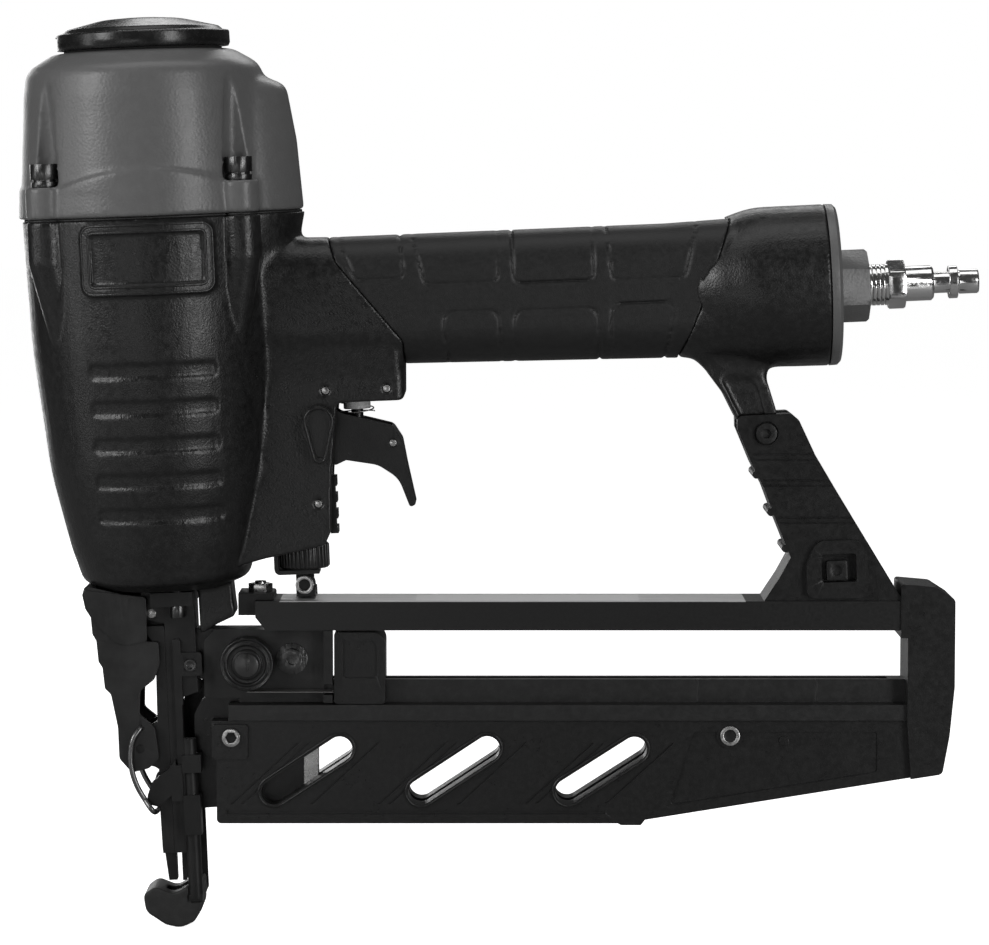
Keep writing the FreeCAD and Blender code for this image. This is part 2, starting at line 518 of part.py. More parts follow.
door = prism_y([(-0.95, 0.2), (-3.7, 0.2), (-4.9, 12, 4), (-5.1, 24.0), (-4.6, 60), (-4.2, 80),
                (-7.4, 84.5, 2), (-8.0, 93.4, 2.8), (-2.2, 93.4, 2.8),
                (-0.95, 84)], -8.8, 8.8)
door = carve(door, [box(-9, 0, -20, -2.7, -1, 10.4), box(-9, 0, 2.7, 20, -1, 10.4),
                    box(-12, 0, -20, -4.1, 86.4, 98), box(-12, 0, 4.1, 20, 86.4, 98)])
ear = prism_y([(-1.5, 36), (-6.0, 39.4, 2), (-12.5, 41.2, 2.5), (-14.6, 46.6, 3), (-12.2, 51.6, 3),
               (-1.5, 56)], -8.8, -6.4)
door = join([door, ear, mirrored(ear)])
door = carve(door, [rod_y(HINGE_X, HINGE_Z, -20, 20, 1.55), rod_y(LATCH_X, LATCH_Z, -20, 20, 1.55)])
door = door.cut(prism_y([(-3.2, 66), (-6, 66), (-6, 20), (-3.4, 20)], -4.0, 4.0))
keep("nose_door", door)

lever_side = [(-14.2, 97.6), (-6.3, 96.4, 1), (-6.8, 81.6), (-2.9, 81.3, 1), (-2.8, 74.1, 2),
              (-4.9, 68.9, 2), (-9.9, 65.2, 3),
              (-10.4, 57.4, 2), (-5.4, 53.0, 3), (-4.4, 42.4, 3), (-8.0, 39.4, 2), (-13.6, 38.2, 2),
              (-17.6, 43.0, 3),
              (-17.6, 53.5, 5), (-19.4, 64.6, 2), (-21.3, 66.6, 1), (-21.8, 73.6, 1), (-23.0, 75.6, 1),
              (-23.4, 82.6, 1),
              (-24.6, 84.8, 1), (-24.9, 90.4, 1), (-26.6, 93.4, 1), (-27.4, 98.0, 1.5), (-26.4, 100.9, 1)]
lever = prism_y(lever_side, -11.5, 11.5)
lever_skin = prism_y([(-27.0, 99.6, 1), (-25.4, 92.0), (-22.6, 87.6), (-15.6, 80.6, 4), (-6.6, 82.0, 1),
                      (-6.3, 96.4, 1)], -12.2, -11.4)
lever = join([lever, lever_skin, mirrored(lever_skin)])
lever_room = prism_y([(0, 110), (-22.5, 110), (-23.6, 97), (-20.6, 84), (-19.0, 72), (-16.6, 62),
                      (-15.2, 54), (-20.0, 53), (-20.0, 34), (0, 34)],
                     -9.2, 9.2)
lever = lever.cut(lever_room)
lever_pin = rod_y(LATCH_X, LATCH_Z, -11.5, 11.5, 1.5)
lever = lever.cut(lever_pin)
wire_path = [(WIRE_X, WIRE_Z), (-12.6, 49.6), (-13.7, 44.6), (-13.5, 39.4), (-12.2, 34.4), (-9.8, 29.6),
             (BAR_X, BAR_Z)]
left = [(x, -13.0, z) for x, z in wire_path]
right = [(x, 13.0, z) for x, z in reversed(wire_path)]
wire = bent_rod([(WIRE_X, -9.3, WIRE_Z)] + left + right + [(WIRE_X, 9.3, WIRE_Z)], 0.9)
lever = lever.cut(rod_y(WIRE_X, WIRE_Z, -12, 12, 0.95))
keep("latch_lever", lever)
keep("lever_pin", lever_pin)
keep("latch_wire", wire)

# ---------------------------------------------------------------- contact arm and its guide
strip = prism_y([(1.6, 17), (4.2, 17), (4.2, 69.5), (11, 69.5, 1), (11, 77.3, 1), (4.2, 77.3), (4.2, 82, 1),
                 (1.6, 82, 1)], -10.3, -8.95)
sleeves = [box(3.1, 9.3, -12.0, -5.2, 37.4, 43.3), box(3.1, 8.6, -12.0, -5.2, 16.6, 29.9)]
guide = join([strip] + sleeves).cut(post(ROD_X, ROD_Y, 0, 60, 2.45))
guide_rivet = join([rod_y(7.2, 73.1, -10.3, -7.0, 1.8), rod_y(7.2, 73.1, -10.9, -10.3, 2.0)])
guide_rivet = guide_rivet.cut(rod_y(7.2, 73.1, -11, -9.6, 1.3))
nose = nose.cut(guide_rivet).cut(prism_y([(-0.9, 28), (3.2, 28), (3.2, 40), (-0.9, 40)], -11.3,
                                         -8.95).common(strip))
guide = guide.cut(rod_y(7.2, 73.1, -11, -7.0, 1.8))
guide = guide.cut(nose)
keep("contact_guide", guide)
keep("nosepiece", nose)

foot_side = [(2.8, -1.0, 1), (7.9, 0.2, 0.6), (7.6, -8.4, 3), (4.6, -13.0, 3), (0.0, -14.9, 6),
             (-5.0, -13.6, 5), (-11.4, -9.0, 4),
             (-12.0, -3.2, 2.2), (-8.0, -0.6, 2.5), (-2.0, -3.4, 4)]
shoe = prism_y(foot_side, -9.6, 9.6)
shoe_hole = prism_z([(-4.6, -3.3, 1), (3.4, -3.3, 1), (3.4, 3.3, 1), (-4.6, 3.3, 1)], -20, 5)
core = prism_y([(2.0, -3.4), (5.8, -2.4), (5.4, -8.0), (3.6, -11.0), (0, -12.6), (-4.4, -11.6),
                (-9.2, -8.2), (-9.4, -4.4),
                (-7.0, -3.6)], -7.2, 7.2)
rod = post(ROD_X, ROD_Y, -5.0, 48.5, 2.4)
far_plate = prism_y([(2.6, -6.0, 1), (8.2, -6.0, 1), (8.2, 56.0, 4), (49.2, 89.0, 4), (49.2, 96.0),
                     (43.0, 96.0), (43.0, 93.5, 2), (2.6, 60.0, 4)],
                    12.5, 14.0)
cross_low = box(2.8, 7.8, 7.0, 14.0, -6.0, -3.6)
rod_tie = box(3.2, 7.8, -10.4, -5.0, -6.0, -3.6)
cross_high = box(43.0, 49.2, -4.6, 14.0, 93.9, 96.0)
eyes = [prism_y([(43.0, 95.0), (49.2, 95.0), (49.2, 98.0, 2.4), (48.2, 101.0, 2.4), (43.8, 101.0, 2.4),
                 (43.0, 98.0, 2.4)], y, y + 1.9)
        for y in (-4.6, 2.7)]
contact_arm = join([core, rod, rod_tie, cross_low, far_plate, cross_high] + eyes)
contact_arm = carve(contact_arm, [shoe_hole, ring_rivet])
shoe = carve(shoe, [shoe_hole, contact_arm])
shoe = max(shoe.Solids, key=lambda piece: piece.Volume)
keep("contact_arm", contact_arm)
keep("no_mar_foot", shoe)

# ---------------------------------------------------------------- magazine, drawn square in (u, w)
beam = prism_y([(26.0, 89.4), (29.4, 85.1), (248.0, 85.1), (248.0, 94.8), (26.0, 94.8)], -12, 12)
beam_room = prism_y([(31, 87.2), (249, 87.2), (249, 92.8), (31, 92.8)], -10, 10)
lug = prism_y([(205, 94.8), (235, 94.8), (226.0, 106.5, 3), (214.0, 106.5, 3)], -2.5, 2.5)
beam = join([beam.cut(beam_room), lug])
bracket = prism_y([(20.2, 89.8), (25.9, 89.8), (25.9, 94.9), (32.0, 94.9), (32.0, 97.0, 1), (20.2, 97.0)],
                  -9, 9)
nut_base = [(27.1 + a, b) for a, b in hexagon(7.0)]
bolt = join([post(27.1, 0, 90.5, 100.4, 1.9), prism_z(nut_base, 97.0, 99.6)])
beam = carve(beam, [post(27.1, 0, 90.4, 95, 1.9)])
bracket = bracket.cut(bolt)
slot_cut = box(-20, 236, -2.5, 2.5, 50, 66.4).fuse(box(46.6, 236, -2.5, 2.5, 60, 70))
track = join([box(16.8, 246, -11, 11, 54.8, 60.2), box(20.2, 246, -5, 5, 60.1, 68.0)]).cut(slot_cut)
marks = [box(u - 0.3, u + 0.3, -5.3, -4.7, 61, 68) for u in (172.6, 212.0)]
track = carve(track, marks)

side_points = [(11.3, 54.7), (11.3, 42.1), (12.8, 41.4), (12.8, 20.4, 1.5), (146.0, 20.4),
               (147.0, 19.8, 0.5), (153.6, 19.8, 0.5),
               (155.0, 21.6), (246.0, 36.2), (246.0, 54.7)]
side = prism_y(side_points, -10, -2.6)
SLOTS = [((53.7, 45.4), (31.8, 31.0)), ((102.6, 45.5), (80.6, 31.0)), ((151.4, 45.3), (129.4, 31.2))]


def slanted_slot(ends, r, y0, y1):
    """Long slot with round ends between two centres."""
    (ua, wa), (ub, wb) = ends
    length = math.hypot(ua - ub, wa - wb)
    nu, nw = (wb - wa) / length * r, (ua - ub) / length * r
    middle = prism_y([(ua + nu, wa + nw), (ub + nu, wb + nw), (ub - nu, wb - nw), (ua - nu, wa - nw)], y0, y1)
    return join([middle, rod_y(ua, wa, y0, y1, r), rod_y(ub, wb, y0, y1, r)])


for ends in SLOTS:
    side = side.fuse(slanted_slot(ends, 5.4, -10.7, -9))
for ends in SLOTS:
    side = side.cut(slanted_slot(ends, 4.2, -12, 0))
panel_low = prism_y([(16, 23.5, 0.5), (142, 23.5, 0.5), (142, 24.7, 0.5), (16, 24.7, 0.5)], -10.1, -9.4)
rear_panel = prism_y([(163.0, 26.4, 1), (232.0, 37.6, 1), (232.0, 51.0, 1), (171.0, 51.0, 1)], -10.1, -9.3)
rear_panel = rear_panel.cut(rod_y(183.1, 49.8, -11, -9, 4.4))
ribs = []
for ends in SLOTS:
    (ua, wa), (ub, wb) = ends
    for shift in (-14.5, -11.0, 12.0):
        rib = prism_y([(ua + shift, wa + 2), (ub + shift, wb - 4), (ub + shift + 1.1, wb - 4),
                       (ua + shift + 1.1, wa + 2)], -10.1, -9.4)
        ribs.append(rib)
side = carve(side, [panel_low, rear_panel] + ribs)
front_pad = prism_y([(11.4, 42.2, 1), (23.3, 42.2, 1), (23.3, 53.6, 1), (11.4, 53.6, 1)], -11.2, -9.9)
side = side.fuse(front_pad)
side = side.fuse(rod_y(201.1, 48.0, -10.0, -9.0, 1.6)).removeSplitter()
front_screw = join([rod_y(17.8, 49.4, -11.2, -5.0, 1.6), rod_y(17.8, 49.4, -12.6, -11.2, 3.0)])
front_screw = front_screw.cut(prism_y([(17.8 + a, 49.4 + b) for a, b in hexagon(3.4)], -13, -11.4))
rear_bolt = join([rod_y(183.1, 49.8, -10.0, -4.0, 2.0), rod_y(183.1, 49.8, -11.0, -10.0, 3.2)])
rear_bolt = rear_bolt.cut(rod_y(183.1, 49.8, -12, -10.35, 2.1))
cover_screws = [front_screw, rear_bolt]
cover_screws += [mirrored(s) for s in cover_screws]
side_far = mirrored(side)
side = carve(side, cover_screws)
side_far = carve(side_far, cover_screws)
rail = prism_y([(14.0, 20.5), (146.0, 20.5), (155.0, 21.8), (236.0, 35.0), (236.0, 36.4), (155.0, 23.1),
                (146.0, 21.8), (14.0, 21.8)], -2.55, 2.55)

cap_side = [(239.3, 82.6), (239.3, 100.6, 1), (250.7, 99.6, 3), (257.2, 95.4, 2), (257.2, 66.3),
            (255.6, 49.9), (253.3, 37.2, 2), (242.9, 35.6),
            (241.6, 54.0), (241.6, 82.6)]
magazine_cap = prism_y(cap_side, -12.8, 12.8)
magazine_cap = carve(magazine_cap,
                     [beam, beam_room.common(box(31, 248, -10, 10, 87.2, 92.8)), track, side, side_far,
                                    box(238, 250, -2.6, 2.6, 30, 66)])

front_block = box(4.0, 47.0, -5.0, 5.0, 68.1, 84.9)
plate = prism_y([(8.6, 62.0, 1), (48.5, 62.0), (48.5, 84.9), (12.0, 84.9, 1), (8.6, 81.0)], -6.8, -5.05)
flange = box(48.5, 51.4, -12.0, -5.05, 61.0, 84.9).cut(box(48, 52, -13, -5.9, 63.6, 67.2))
plate = join([plate, flange])
drum_pin = join([rod_y(DRUM_U, DRUM_W, -15.6, 0, 2.0), rod_y(DRUM_U, DRUM_W, -15.9, -14.9, 3.9)])
drum = rod_y(DRUM_U, DRUM_W, -14.8, -6.95, 8.8).cut(rod_y(DRUM_U, DRUM_W, -16, 0, 2.05))
for r_out, r_in, floor_y in ((8.1, 7.2, -14.3), (6.4, 4.9, -13.6)):
    drum = drum.cut(rod_y(DRUM_U, DRUM_W, -14.9, floor_y, r_out).cut(rod_y(DRUM_U, DRUM_W, -15, -13, r_in)))
plate_screw = join([rod_y(37.8, 75.1, -6.8, -1.0, 2.0), rod_y(37.8, 75.1, -7.4, -6.8, 5.2),
                    rod_y(37.8, 75.1, -10.2, -7.4, 3.5)])
plate_screw = plate_screw.cut(prism_y([(37.8 + a, 75.1 + b) for a, b in hexagon(3.2)], -11, -8.4))
front_block = carve(front_block, [drum_pin, plate_screw])
plate = carve(plate, [drum_pin, plate_screw])
band = box(DRUM_U, 51.7, -13.6, -7.2, 64.7, 65.05)

pusher_plate = prism_y([(41.5, 26.5), (46.4, 26.5), (46.4, 50.0), (60.0, 58.0), (60.0, 77.0), (54.0, 77.0),
                        (54.0, 66.0), (41.5, 62.0)], -2.3, 2.3)
carriage = prism_y([(5.0, 24.2, 1), (41.4, 26.6), (41.4, 61.8), (8.0, 61.8, 3), (5.0, 56.0)], -2.3, 2.3)
block = prism_y([(51.9, 60.4, 1), (68.8, 60.4, 1), (68.8, 84.2, 4), (51.9, 84.2, 1)], -10, 10)
block = block.cut(box(50, 70, -5.3, 5.3, 58, 68.3)).cut(box(53.9, 60.1, -2.35, 2.35, 68, 77.1))
grip_step = prism_y([(55.0, 69.0, 1), (66.0, 69.0, 1), (66.0, 81.5, 2), (55.0, 81.5, 1)], -10.1, -9.2)
block = carve(block, [grip_step, mirrored(grip_step)])

nosepiece_room = PARTS["nosepiece"]
keep("magazine_beam", lean(beam))
keep("beam_bracket", lean(bracket))
keep("magazine_track", lean(track))
keep("magazine_side_near", lean(side))
keep("magazine_side_far", lean(side_far))
keep("magazine_rail", lean(rail))
keep("cover_screws", lean(Part.makeCompound(cover_screws)))
keep("magazine_end_cap", lean(magazine_cap))
keep("front_bracket", lean(front_block).cut(nosepiece_room).cut(foot))
keep("front_plate", lean(plate).cut(nosepiece_room).cut(PARTS["contact_guide"]))
keep("spring_drum", lean(drum))
keep("front_screws", Part.makeCompound(nose_screws + [guide_rivet, lean(plate_screw), lean(drum_pin)]))
keep("fixed_pins", Part.makeCompound(cross_pins + [hinge_pin]))
keep("feed_spring", lean(band))
keep("pusher_plate", lean(pusher_plate))
keep("pusher_carriage", lean(carriage))
keep("pusher_handle", lean(block))

# ---------------------------------------------------------------- strut
strut = prism_y([(191.0, 148.6, 1.6), (191.0, 144.0), (195.3, 132.4), (199.0, 124.3), (202.2, 114.6),
                 (207.0, 101.2), (203.1, 94.7), (197.6, 87.0),
                 (244.0, 84.6), (230.1, 109.5), (223.3, 121.7), (216.2, 134.8), (211.2, 146.6, 2.5),
                 (208.6, 148.8, 2)], -11, 11)
strut = join([strut] + [rod_y(x, z, -11, 11, 1.3) for x,
                        z in ((196.6, 129.0), (201.0, 116.4), (205.4, 104.2))])
strut = carve(strut, [lean(box(190, 250, -13, 13, 80, 94.85)), box(180, 220, -4.6, 4.6, 138.0, 152)])
strut_boss = prism_y([(211.7, 87.6, 3), (231.9, 87.0, 3), (232.1, 101.0, 6), (229.8, 106.4, 4),
                      (215.5, 106.4, 4), (211.9, 99.0, 8)],
                     -13.4, 13.4)
strut_boss = carve(strut_boss, [lean(box(190, 250, -14, 14, 80, 94.85))])
strut = join([strut, strut_boss])


def strut_line(x, z, length):
    """Shallow line across the strut, level with the magazine."""
    drop = length * math.sin(math.radians(TILT))
    return prism_y([(x, z), (x + length, z - drop), (x + length, z - drop - 0.7), (x, z - 0.7)], -11.1, -10.3)


side_reliefs = [strut_line(x, z, length) for x, z, length in
                ((195.8, 136.2, 22), (196.6, 134.2, 22), (198.8, 127.4, 23), (199.6, 125.6, 23),
                 (203.2, 114.9, 25), (204.0, 113.1, 25))]
pocket = prism_y([(216.9, 92.6, 1), (228.4, 92.6, 1), (228.4, 102.0, 1), (216.9, 102.0, 1)], -14, -9.5)
strut = carve(strut, side_reliefs + [mirrored(r) for r in side_reliefs] + [pocket])
strut_screw = join([rod_y(200.3, 142.6, -11.6, 9, 2.0), rod_y(200.3, 142.6, -13.0, -10.0, 3.4)])
strut_screw = strut_screw.cut(prism_y([(200.3 + a, 142.6 + b) for a, b in hexagon(3.0)], -14, -11.6))
strut = carve(strut, [strut_screw, rod_y(200.3, 142.6, -12, -9.9, 4.0)])
housing = housing.cut(strut_screw)
housing = housing.cut(strut)
square_nut = prism_y([(218.6, 93.2, 0.6), (225.4, 93.2, 0.6), (225.4, 99.6, 0.6), (218.6, 99.6, 0.6)],
                     -12.4, -9.5)
base_bolt = join([rod_y(222.0, 96.4, -11.0, 13.4, 2.5), rod_y(222.0, 96.4, 13.4, 15.6, 4.2), square_nut])
base_bolt = base_bolt.cut(rod_y(222.0, 96.4, -13, -11.2, 1.7))
strut = strut.cut(base_bolt)
beam_lug_room = lean(lug)
strut = strut.cut(beam_lug_room)
PARTS["magazine_beam"] = PARTS["magazine_beam"].cut(base_bolt)
PARTS["magazine_end_cap"] = PARTS["magazine_end_cap"].cut(strut)
keep("strut", strut)
keep("magazine_bolts", Part.makeCompound([strut_screw, base_bolt, lean(bolt)]))
housing = housing.cut(PARTS["beam_bracket"])
keep("body_housing", housing)

for name, shape in PARTS.items():
    shape.exportStep("parts/" + name + ".step")
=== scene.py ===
import math

import bpy
from mathutils import Matrix, Vector


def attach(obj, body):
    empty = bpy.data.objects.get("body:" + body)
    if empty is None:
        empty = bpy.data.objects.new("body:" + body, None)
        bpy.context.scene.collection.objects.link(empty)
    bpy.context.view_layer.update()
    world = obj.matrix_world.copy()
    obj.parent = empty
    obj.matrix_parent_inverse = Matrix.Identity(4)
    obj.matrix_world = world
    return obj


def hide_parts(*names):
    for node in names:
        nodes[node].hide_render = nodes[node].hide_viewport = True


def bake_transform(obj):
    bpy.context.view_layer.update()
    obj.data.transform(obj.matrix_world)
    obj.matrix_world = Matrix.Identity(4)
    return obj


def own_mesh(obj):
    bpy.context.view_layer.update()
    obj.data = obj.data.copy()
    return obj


# Looks of a pneumatic finish nail gun, built round its CAD frame.
# Blender works in metres. Shape sizes below are in millimetres unless a comment says otherwise, and
# MM turns them into metres. Z runs up the drive axis, X to the rear, Y across the tool.

MM = 0.001

TILT = math.radians(2.25)       # the magazine hangs this far below square
lean = Matrix.Rotation(TILT, 4, "Y")

# Fine bevel on the CAD solids
EDGE_WIDTH = 0.3
EDGE_ANGLE = math.radians(32)   # bends sharper than this are bevelled
FLAT_WEIGHT = 60                # how far large faces pull the shading flat
WELD_GAP = 0.01
SKIN_WELD_GAP = 0.02

# Surfaces that carry raised lips
BARREL_RADIUS = 42.45
COVER_HALF = 10.55
SELECTOR_HALF = 18.95

# Wire of the magazine latch. Its ends turn inward and run across the tool, from bend to tip.
WIRE_RADIUS = 0.9
WIRE_END = (-10.1, 52.9)
WIRE_LEG = ((-12.6, 49.6), (-13.7, 44.6), (-13.5, 39.4), (-12.2, 34.4), (-9.8, 29.6), (-6.5, 25.0))
# distances from the middle plane
WIRE_TIP_HALF = 9.4
WIRE_BEND_HALF = 11.6
WIRE_LEG_HALF = 13.0

# Band spring that pulls the pusher, in the leaning frame of the magazine
BAND_FRONT, BAND_REAR = 23.2, 51.7
BAND_NEAR, BAND_FAR = -13.6, -7.2
BAND_BOTTOM = 64.72
BAND_THICKNESS = 0.16
BAND_BOW = 0.15

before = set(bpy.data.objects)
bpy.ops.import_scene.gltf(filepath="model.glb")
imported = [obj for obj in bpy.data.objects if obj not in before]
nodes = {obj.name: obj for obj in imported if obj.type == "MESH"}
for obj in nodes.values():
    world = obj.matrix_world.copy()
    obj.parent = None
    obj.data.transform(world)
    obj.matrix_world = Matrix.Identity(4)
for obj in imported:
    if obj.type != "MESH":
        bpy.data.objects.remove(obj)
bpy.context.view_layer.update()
scene = bpy.context.scene
collection = scene.collection


# ---------------------------------------------------------------- node materials
class Nodes:
    """A short way to write a shader tree whose textures are measured in metres."""

    def __init__(self, name):
        self.material = bpy.data.materials.new(name)
        self.material.use_nodes = True
        self.tree = self.material.node_tree
        self.shader = self.tree.nodes["Principled BSDF"]
        coordinates = self.tree.nodes.new("ShaderNodeTexCoord")
        self.place = coordinates.outputs["Object"]

    def add(self, kind, inputs=None, **settings):
        node = self.tree.nodes.new(kind)
        for key, value in settings.items():
            setattr(node, key, value)
        for key, value in (inputs or {}).items():
            self.feed(node.inputs[key], value)
        return node

    def feed(self, socket, value):
        if isinstance(value, bpy.types.NodeSocket):
            self.tree.links.new(value, socket)
        else:
            socket.default_value = value

    def reckon(self, operation, a, b=0.0, clamp=False):
        return self.add("ShaderNodeMath", {0: a, 1: b}, operation=operation, use_clamp=clamp).outputs[0]

    def between(self, value, low, high):
        """One where the value lies between low and high, else zero."""
        return self.reckon("MULTIPLY", self.reckon("GREATER_THAN", value, low),
                           self.reckon("LESS_THAN", value, high))

    def noise(self, size, detail=2.0, rough=0.5, stretch=None):
        """Noise between 0 and 1 whose lumps are about `size` metres across."""
        vector = self.place
        if stretch:
            vector = self.add("ShaderNodeMapping", {"Vector": vector, "Scale": stretch}).outputs[0]
        inputs = {"Vector": vector, "Scale": 0.5 / size, "Detail": detail, "Roughness": rough}
        return self.add("ShaderNodeTexNoise", inputs).outputs["Fac"]

    def pebbles(self, size):
        """Round grains `size` metres apart."""
        cells = self.add("ShaderNodeTexVoronoi", {"Vector": self.place, "Scale": 1.0 / size},
                         feature="SMOOTH_F1")
        cells.inputs["Smoothness"].default_value = 0.6
        return self.reckon("SUBTRACT", 1.0, cells.outputs["Distance"])

    def spread(self, value, low, high, start=0.3, end=0.7):
        """Takes start..end to low..high."""
        inputs = {"Value": value, "From Min": start, "From Max": end, "To Min": low, "To Max": high}
        return self.add("ShaderNodeMapRange", inputs).outputs[0]

    def mix(self, factor, a, b):
        """Colour a where the factor is 0, colour b where it is 1."""
        node = self.add("ShaderNodeMix", data_type="RGBA")
        factor_socket, a_socket, b_socket, colour_output = 0, 6, 7, 2
        self.feed(node.inputs[factor_socket], factor)
        self.feed(node.inputs[a_socket], a)
        self.feed(node.inputs[b_socket], b)
        return node.outputs[colour_output]

    def axes(self):
        split = self.add("ShaderNodeSeparateXYZ", {0: self.place})
        return split.outputs[0], split.outputs[1], split.outputs[2]

    def bump(self, height, depth, under=None):
        """Relief of `depth` metres."""
        inputs = {"Height": height, "Strength": 1.0, "Distance": depth}
        if under is not None:
            inputs["Normal"] = under
        return self.add("ShaderNodeBump", inputs).outputs[0]

    def set(self, **inputs):
        for key, value in inputs.items():
            self.feed(self.shader.inputs[key.replace("_", " ")], value)
        return self.material


def rgba(value, warm=0.0):
    return (value + warm, value, value - warm, 1.0)


def coated(name, tone, rough, grain, relief, lump=0.006, speck=0.04, worn=1.4):
    """Paint, plastic or rubber: fine grain, patchy gloss and a little wear in the tone."""
    n = Nodes(name)
    fine = n.pebbles(grain)
    broad = n.noise(lump, detail=3.0)
    dust = n.noise(grain * 1.7, detail=4.0, rough=0.7)
    normal = n.bump(broad, relief * 1.2)
    normal = n.bump(fine, relief, normal)
    rubbed = n.spread(dust, 0.0, 1.0, start=0.42, end=0.72)
    colour = n.mix(rubbed, rgba(tone), rgba(tone * worn + 0.003))
    patchy = n.spread(broad, rough - 0.02, rough + 0.02)
    dusty = n.spread(dust, -speck, speck, start=0.35, end=0.65)
    roughness = n.reckon("ADD", patchy, dusty, clamp=True)
    return n.set(Base_Color=colour, Roughness=roughness, Normal=normal)


def metal(name, tone, rough, warm=0.0, brush=(1, 1, 1), scratch=0.25, relief=0.00001, metallic=1.0):
    """Plated or blackened steel with faint brushing and small marks."""
    n = Nodes(name)
    lines = n.noise(0.0006, detail=4.0, rough=0.65, stretch=brush)
    patches = n.noise(0.004, detail=3.0)
    marks = n.noise(0.0012, detail=6.0, rough=0.75)
    worn_tone = tone * (1 + scratch)
    mark_tone = min(1.0, tone * 2.2 + 0.02)
    colour = n.mix(n.spread(patches, 0.0, 1.0), rgba(tone, warm), rgba(worn_tone, warm))
    colour = n.mix(n.spread(marks, 0.0, 0.35, start=0.62, end=0.8), colour, rgba(mark_tone, warm))
    brushed = n.spread(lines, rough - 0.06, rough + 0.08)
    roughness = n.reckon("ADD", brushed, n.spread(marks, 0.0, 0.08), clamp=True)
    return n.set(Base_Color=colour, Roughness=roughness, Metallic=metallic, Normal=n.bump(lines, relief))


def beam_paint():
    """Black anodised beam whose top face is rubbed silvery and carries a blank pale label."""
    top_face = 94.6 * MM
    bare_start, bare_end = 34 * MM, 188 * MM
    label_start, label_end = 79 * MM, 153 * MM
    label_half = 9.0 * MM
    n = Nodes("beam_paint")
    x, y, z = n.axes()
    along = n.reckon("SUBTRACT", n.reckon("MULTIPLY", x, math.cos(TILT)),
                     n.reckon("MULTIPLY", z, math.sin(TILT)))
    up = n.reckon("ADD", n.reckon("MULTIPLY", z, math.cos(TILT)), n.reckon("MULTIPLY", x, math.sin(TILT)))
    on_top = n.reckon("GREATER_THAN", up, top_face)
    bare = n.reckon("MULTIPLY", n.between(along, bare_start, bare_end), on_top)
    inside = n.reckon("LESS_THAN", n.reckon("ABSOLUTE", y), label_half)
    label = n.reckon("MULTIPLY", n.between(along, label_start, label_end), inside)
    label = n.reckon("MULTIPLY", label, on_top)
    lines = n.noise(0.0008, detail=4.0, rough=0.6, stretch=(0.05, 1, 1))
    grain = n.noise(0.0005, detail=4.0, rough=0.7)
    dark = n.mix(n.spread(grain, 0.0, 1.0), rgba(0.006), rgba(0.012))
    silver = n.mix(n.spread(lines, 0.0, 1.0), rgba(0.66), rgba(0.84))
    paper = n.mix(n.spread(grain, 0.0, 1.0), rgba(0.80), rgba(0.88))
    colour = n.mix(label, n.mix(bare, dark, silver), paper)
    rough = n.reckon("ADD", n.spread(grain, 0.28, 0.42), n.reckon("MULTIPLY", label, 0.2))
    metallic = 0.75
    shine = n.reckon("SUBTRACT", metallic, n.reckon("MULTIPLY", label, metallic))
    shine = n.reckon("MULTIPLY", bare, shine)
    return n.set(Base_Color=colour, Roughness=rough, Metallic=shine, Normal=n.bump(grain, 0.00001))


# tone and roughness, then grain size and relief in metres
COATINGS = {
    "casting_black": dict(tone=0.0085, rough=0.36, grain=0.00065, relief=0.00006,
                          lump=0.02, speck=0.08, worn=1.5),
    "casting_grey": dict(tone=0.130, rough=0.36, grain=0.00095, relief=0.00005,
                         lump=0.02, speck=0.03, worn=1.06),
    "plastic_black": dict(tone=0.0075, rough=0.32, grain=0.0005, relief=0.00002),
    "plastic_gloss": dict(tone=0.010, rough=0.26, grain=0.0008, relief=0.000012),
    "plastic_white": dict(tone=0.62, rough=0.42, grain=0.0005, relief=0.00001),
    "rubber_grip": dict(tone=0.0065, rough=0.50, grain=0.00045, relief=0.00003, lump=0.015),
    "rubber_seal": dict(tone=0.014, rough=0.55, grain=0.0006, relief=0.00002),
    "felt": dict(tone=0.025, rough=0.9, grain=0.0004, relief=0.00012),
    "rail_aluminium": dict(tone=0.013, rough=0.36, grain=0.0006, relief=0.000015),
}
METALS = {
    "steel_black": dict(tone=0.020, rough=0.36, scratch=0.5, metallic=0.6),
    "steel_sheet": dict(tone=0.030, rough=0.33, brush=(1, 1, 0.15), scratch=0.6, metallic=0.7),
    "steel_bright": dict(tone=0.56, rough=0.24, warm=0.004),
    "screw_black": dict(tone=0.07, rough=0.26, brush=(1, 1, 0.05), scratch=0.8, relief=0.00012),
    "spring_steel": dict(tone=0.34, rough=0.30, warm=0.006),
    "wire_zinc": dict(tone=0.15, rough=0.28, scratch=0.5),
    "chrome": dict(tone=0.80, rough=0.10, warm=0.002, scratch=0.08),
    "cylinder_aluminium": dict(tone=0.5, rough=0.35, brush=(1, 1, 0.1)),
}
MATERIALS = {look: coated(look, **settings) for look, settings in COATINGS.items()}
MATERIALS.update({look: metal(look, **settings) for look, settings in METALS.items()})
MATERIALS["beam"] = beam_paint()


def paint(obj, look):
    obj.data.materials.clear()
    obj.data.materials.append(MATERIALS[look])


# ---------------------------------------------------------------- mesh helpers
def smooth_shade(mesh, smooth=True):
    for polygon in mesh.polygons:
        polygon.use_smooth = smooth


def mesh_piece(name, points, faces, body, look):
    """Closed smooth mesh; it rides on a CAD body if one is named."""
    mesh = bpy.data.meshes.new(name)
    mesh.from_pydata([tuple(p) for p in points], [], faces)
    mesh.update()
    smooth_shade(mesh)
    obj = bpy.data.objects.new(name, mesh)
    collection.objects.link(obj)
    paint(obj, look)
    if body:
        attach(obj, body)
    return obj


